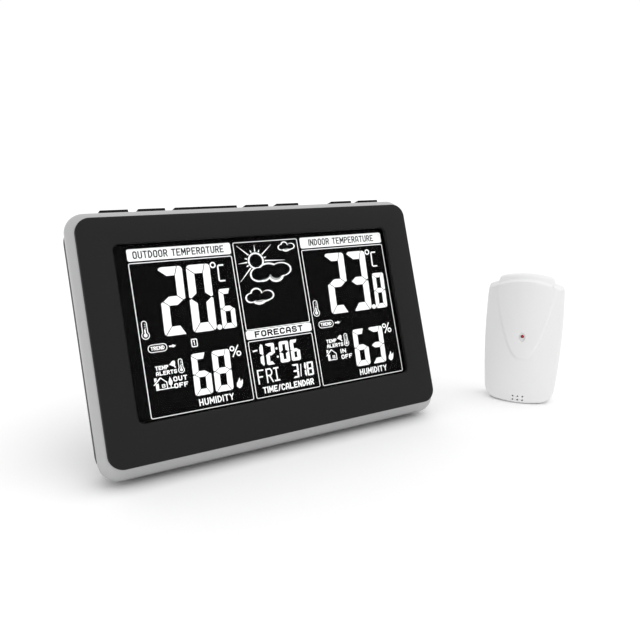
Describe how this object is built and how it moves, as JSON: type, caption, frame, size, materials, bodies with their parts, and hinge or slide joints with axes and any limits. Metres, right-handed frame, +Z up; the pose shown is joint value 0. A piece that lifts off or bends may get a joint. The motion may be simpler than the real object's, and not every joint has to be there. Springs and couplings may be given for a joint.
{
  "type": "home weather station",
  "caption": "Desktop weather station: leaning wide display console with top buttons and fold-out stand, plus a small upright white outdoor sensor.",
  "frame": {"origin": "middle of the whole object's footprint, on the surface that the console and the sensor stand on", "axes": "+X to the right along the console's width, +Y towards the back, +Z up; the console's display faces -Y and leans back 19 degrees"},
  "size_m": [0.3082, 0.107, 0.1372],
  "materials": {
    "bezel_black": "fine satin moulded black",
    "cover_black": "fine-textured black",
    "button_black": "satin black",
    "inner_black": "plain moulded",
    "silver_trim": "satin silver lacquer",
    "clear_window": "polished clear",
    "display_black": "smooth black display",
    "light_guide": "white diffuser",
    "connector_rubber": "striped elastomer",
    "circuit_board": "green solder mask",
    "module_board": "blue solder mask",
    "foot_rubber": "soft black rubber",
    "steel": "zinc-plated steel",
    "contact_nickel": "nickel-plated spring steel",
    "cell_wrap": "plain printed sleeve with bare ends",
    "copper": "enamelled copper wire",
    "component_black": "moulded black",
    "element_white": "white perforated housing",
    "shell_white": "satin white",
    "led_red": "tinted clear red"
  },
  "bodies": {
    "console": {"battery_cell_1": "cell_wrap", "battery_cell_2": "cell_wrap", "battery_cell_3": "cell_wrap", "battery_contact_lower_1_2": "contact_nickel", "battery_contact_lower_3": "contact_nickel", "battery_contact_upper_1": "contact_nickel", "battery_contact_upper_2_3": "contact_nickel", "board_screw_1": "steel", "board_screw_2": "steel", "button_board": "circuit_board", "buzzer": "component_black", "case_screw_1": "steel", "case_screw_2": "steel", "case_screw_3": "steel", "case_screw_4": "steel", "console_foot_left": "foot_rubber", "console_foot_right": "foot_rubber", "dc_jack": "component_black", "display_window": "clear_window", "front_bezel": "bezel_black", "lcd_connector": "connector_rubber", "lcd_holder": "inner_black", "lcd_panel": "display_black", "light_guide": "light_guide", "main_board": "circuit_board", "rear_cover": "cover_black", "receiver_antenna": "copper", "receiver_module": "module_board", "room_sensor": "element_white", "silver_frame": "silver_trim", "stand_pin": "steel"},
    "stand": {"table_stand": "cover_black", "stand_pad": "foot_rubber"},
    "battery_door": {"battery_door": "cover_black"},
    "sensor": {"sensor_antenna": "copper", "sensor_board": "circuit_board", "sensor_cell_1": "cell_wrap", "sensor_cell_2": "cell_wrap", "sensor_contact_lower_1_2": "contact_nickel", "sensor_contact_upper_1": "contact_nickel", "sensor_contact_upper_2": "contact_nickel", "sensor_front_shell": "shell_white", "sensor_led": "led_red", "sensor_probe": "element_white", "sensor_rear_shell": "shell_white", "sensor_screw_1": "steel", "sensor_screw_2": "steel", "sensor_screw_3": "steel", "sensor_screw_4": "steel", "switch_body": "steel"},
    "sensor_door": {"sensor_door": "shell_white"},
    "channel_switch": {"channel_switch": "component_black"},
    "mode_button": {"mode_button": "button_black"},
    "set_button": {"set_button": "button_black"},
    "light_button": {"light_button": "button_black"},
    "up_button": {"up_button": "button_black"},
    "down_button": {"down_button": "button_black"},
    "alarm_button": {"alarm_button": "button_black"},
    "channel_button": {"channel_button": "button_black"}
  },
  "joints": [
    {"name": "mode_press", "type": "slide", "parent": "console", "child": "mode_button", "axis": [0, -0.3256, -0.9455], "range_m": [0, 0.0008], "stiffness_N_per_m": 400, "springref_m": -0.001},
    {"name": "set_press", "type": "slide", "parent": "console", "child": "set_button", "axis": [0, -0.3256, -0.9455], "range_m": [0, 0.0008], "stiffness_N_per_m": 400, "springref_m": -0.001},
    {"name": "light_press", "type": "slide", "parent": "console", "child": "light_button", "axis": [0, -0.3256, -0.9455], "range_m": [0, 0.0008], "stiffness_N_per_m": 400, "springref_m": -0.001},
    {"name": "up_press", "type": "slide", "parent": "console", "child": "up_button", "axis": [0, -0.3256, -0.9455], "range_m": [0, 0.0008], "stiffness_N_per_m": 400, "springref_m": -0.001},
    {"name": "down_press", "type": "slide", "parent": "console", "child": "down_button", "axis": [0, -0.3256, -0.9455], "range_m": [0, 0.0008], "stiffness_N_per_m": 400, "springref_m": -0.001},
    {"name": "alarm_press", "type": "slide", "parent": "console", "child": "alarm_button", "axis": [0, -0.3256, -0.9455], "range_m": [0, 0.0008], "stiffness_N_per_m": 400, "springref_m": -0.001},
    {"name": "channel_press", "type": "slide", "parent": "console", "child": "channel_button", "axis": [0, -0.3256, -0.9455], "range_m": [0, 0.0008], "stiffness_N_per_m": 400, "springref_m": -0.001},
    {"name": "stand_hinge", "type": "hinge", "parent": "console", "child": "stand", "pos_m": [-0.0479, 0.02574, 0.0977], "axis": [1, 0, 0], "range_deg": [-34, 0]},
    {"name": "battery_door_off", "type": "slide", "parent": "console", "child": "battery_door", "axis": [0, 0.9455, -0.3256], "range_m": [0, 0.03]},
    {"name": "sensor_lift", "type": "slide", "parent": "console", "child": "sensor", "axis": [0, 0, 1], "range_m": [0, 0.1]},
    {"name": "sensor_door_off", "type": "slide", "parent": "sensor", "child": "sensor_door", "axis": [0.766, 0.6428, 0], "range_m": [0, 0.03]},
    {"name": "channel_slide", "type": "slide", "parent": "sensor", "child": "channel_switch", "axis": [-0.6428, 0.766, 0], "range_m": [0, 0.0044]}
  ]
}
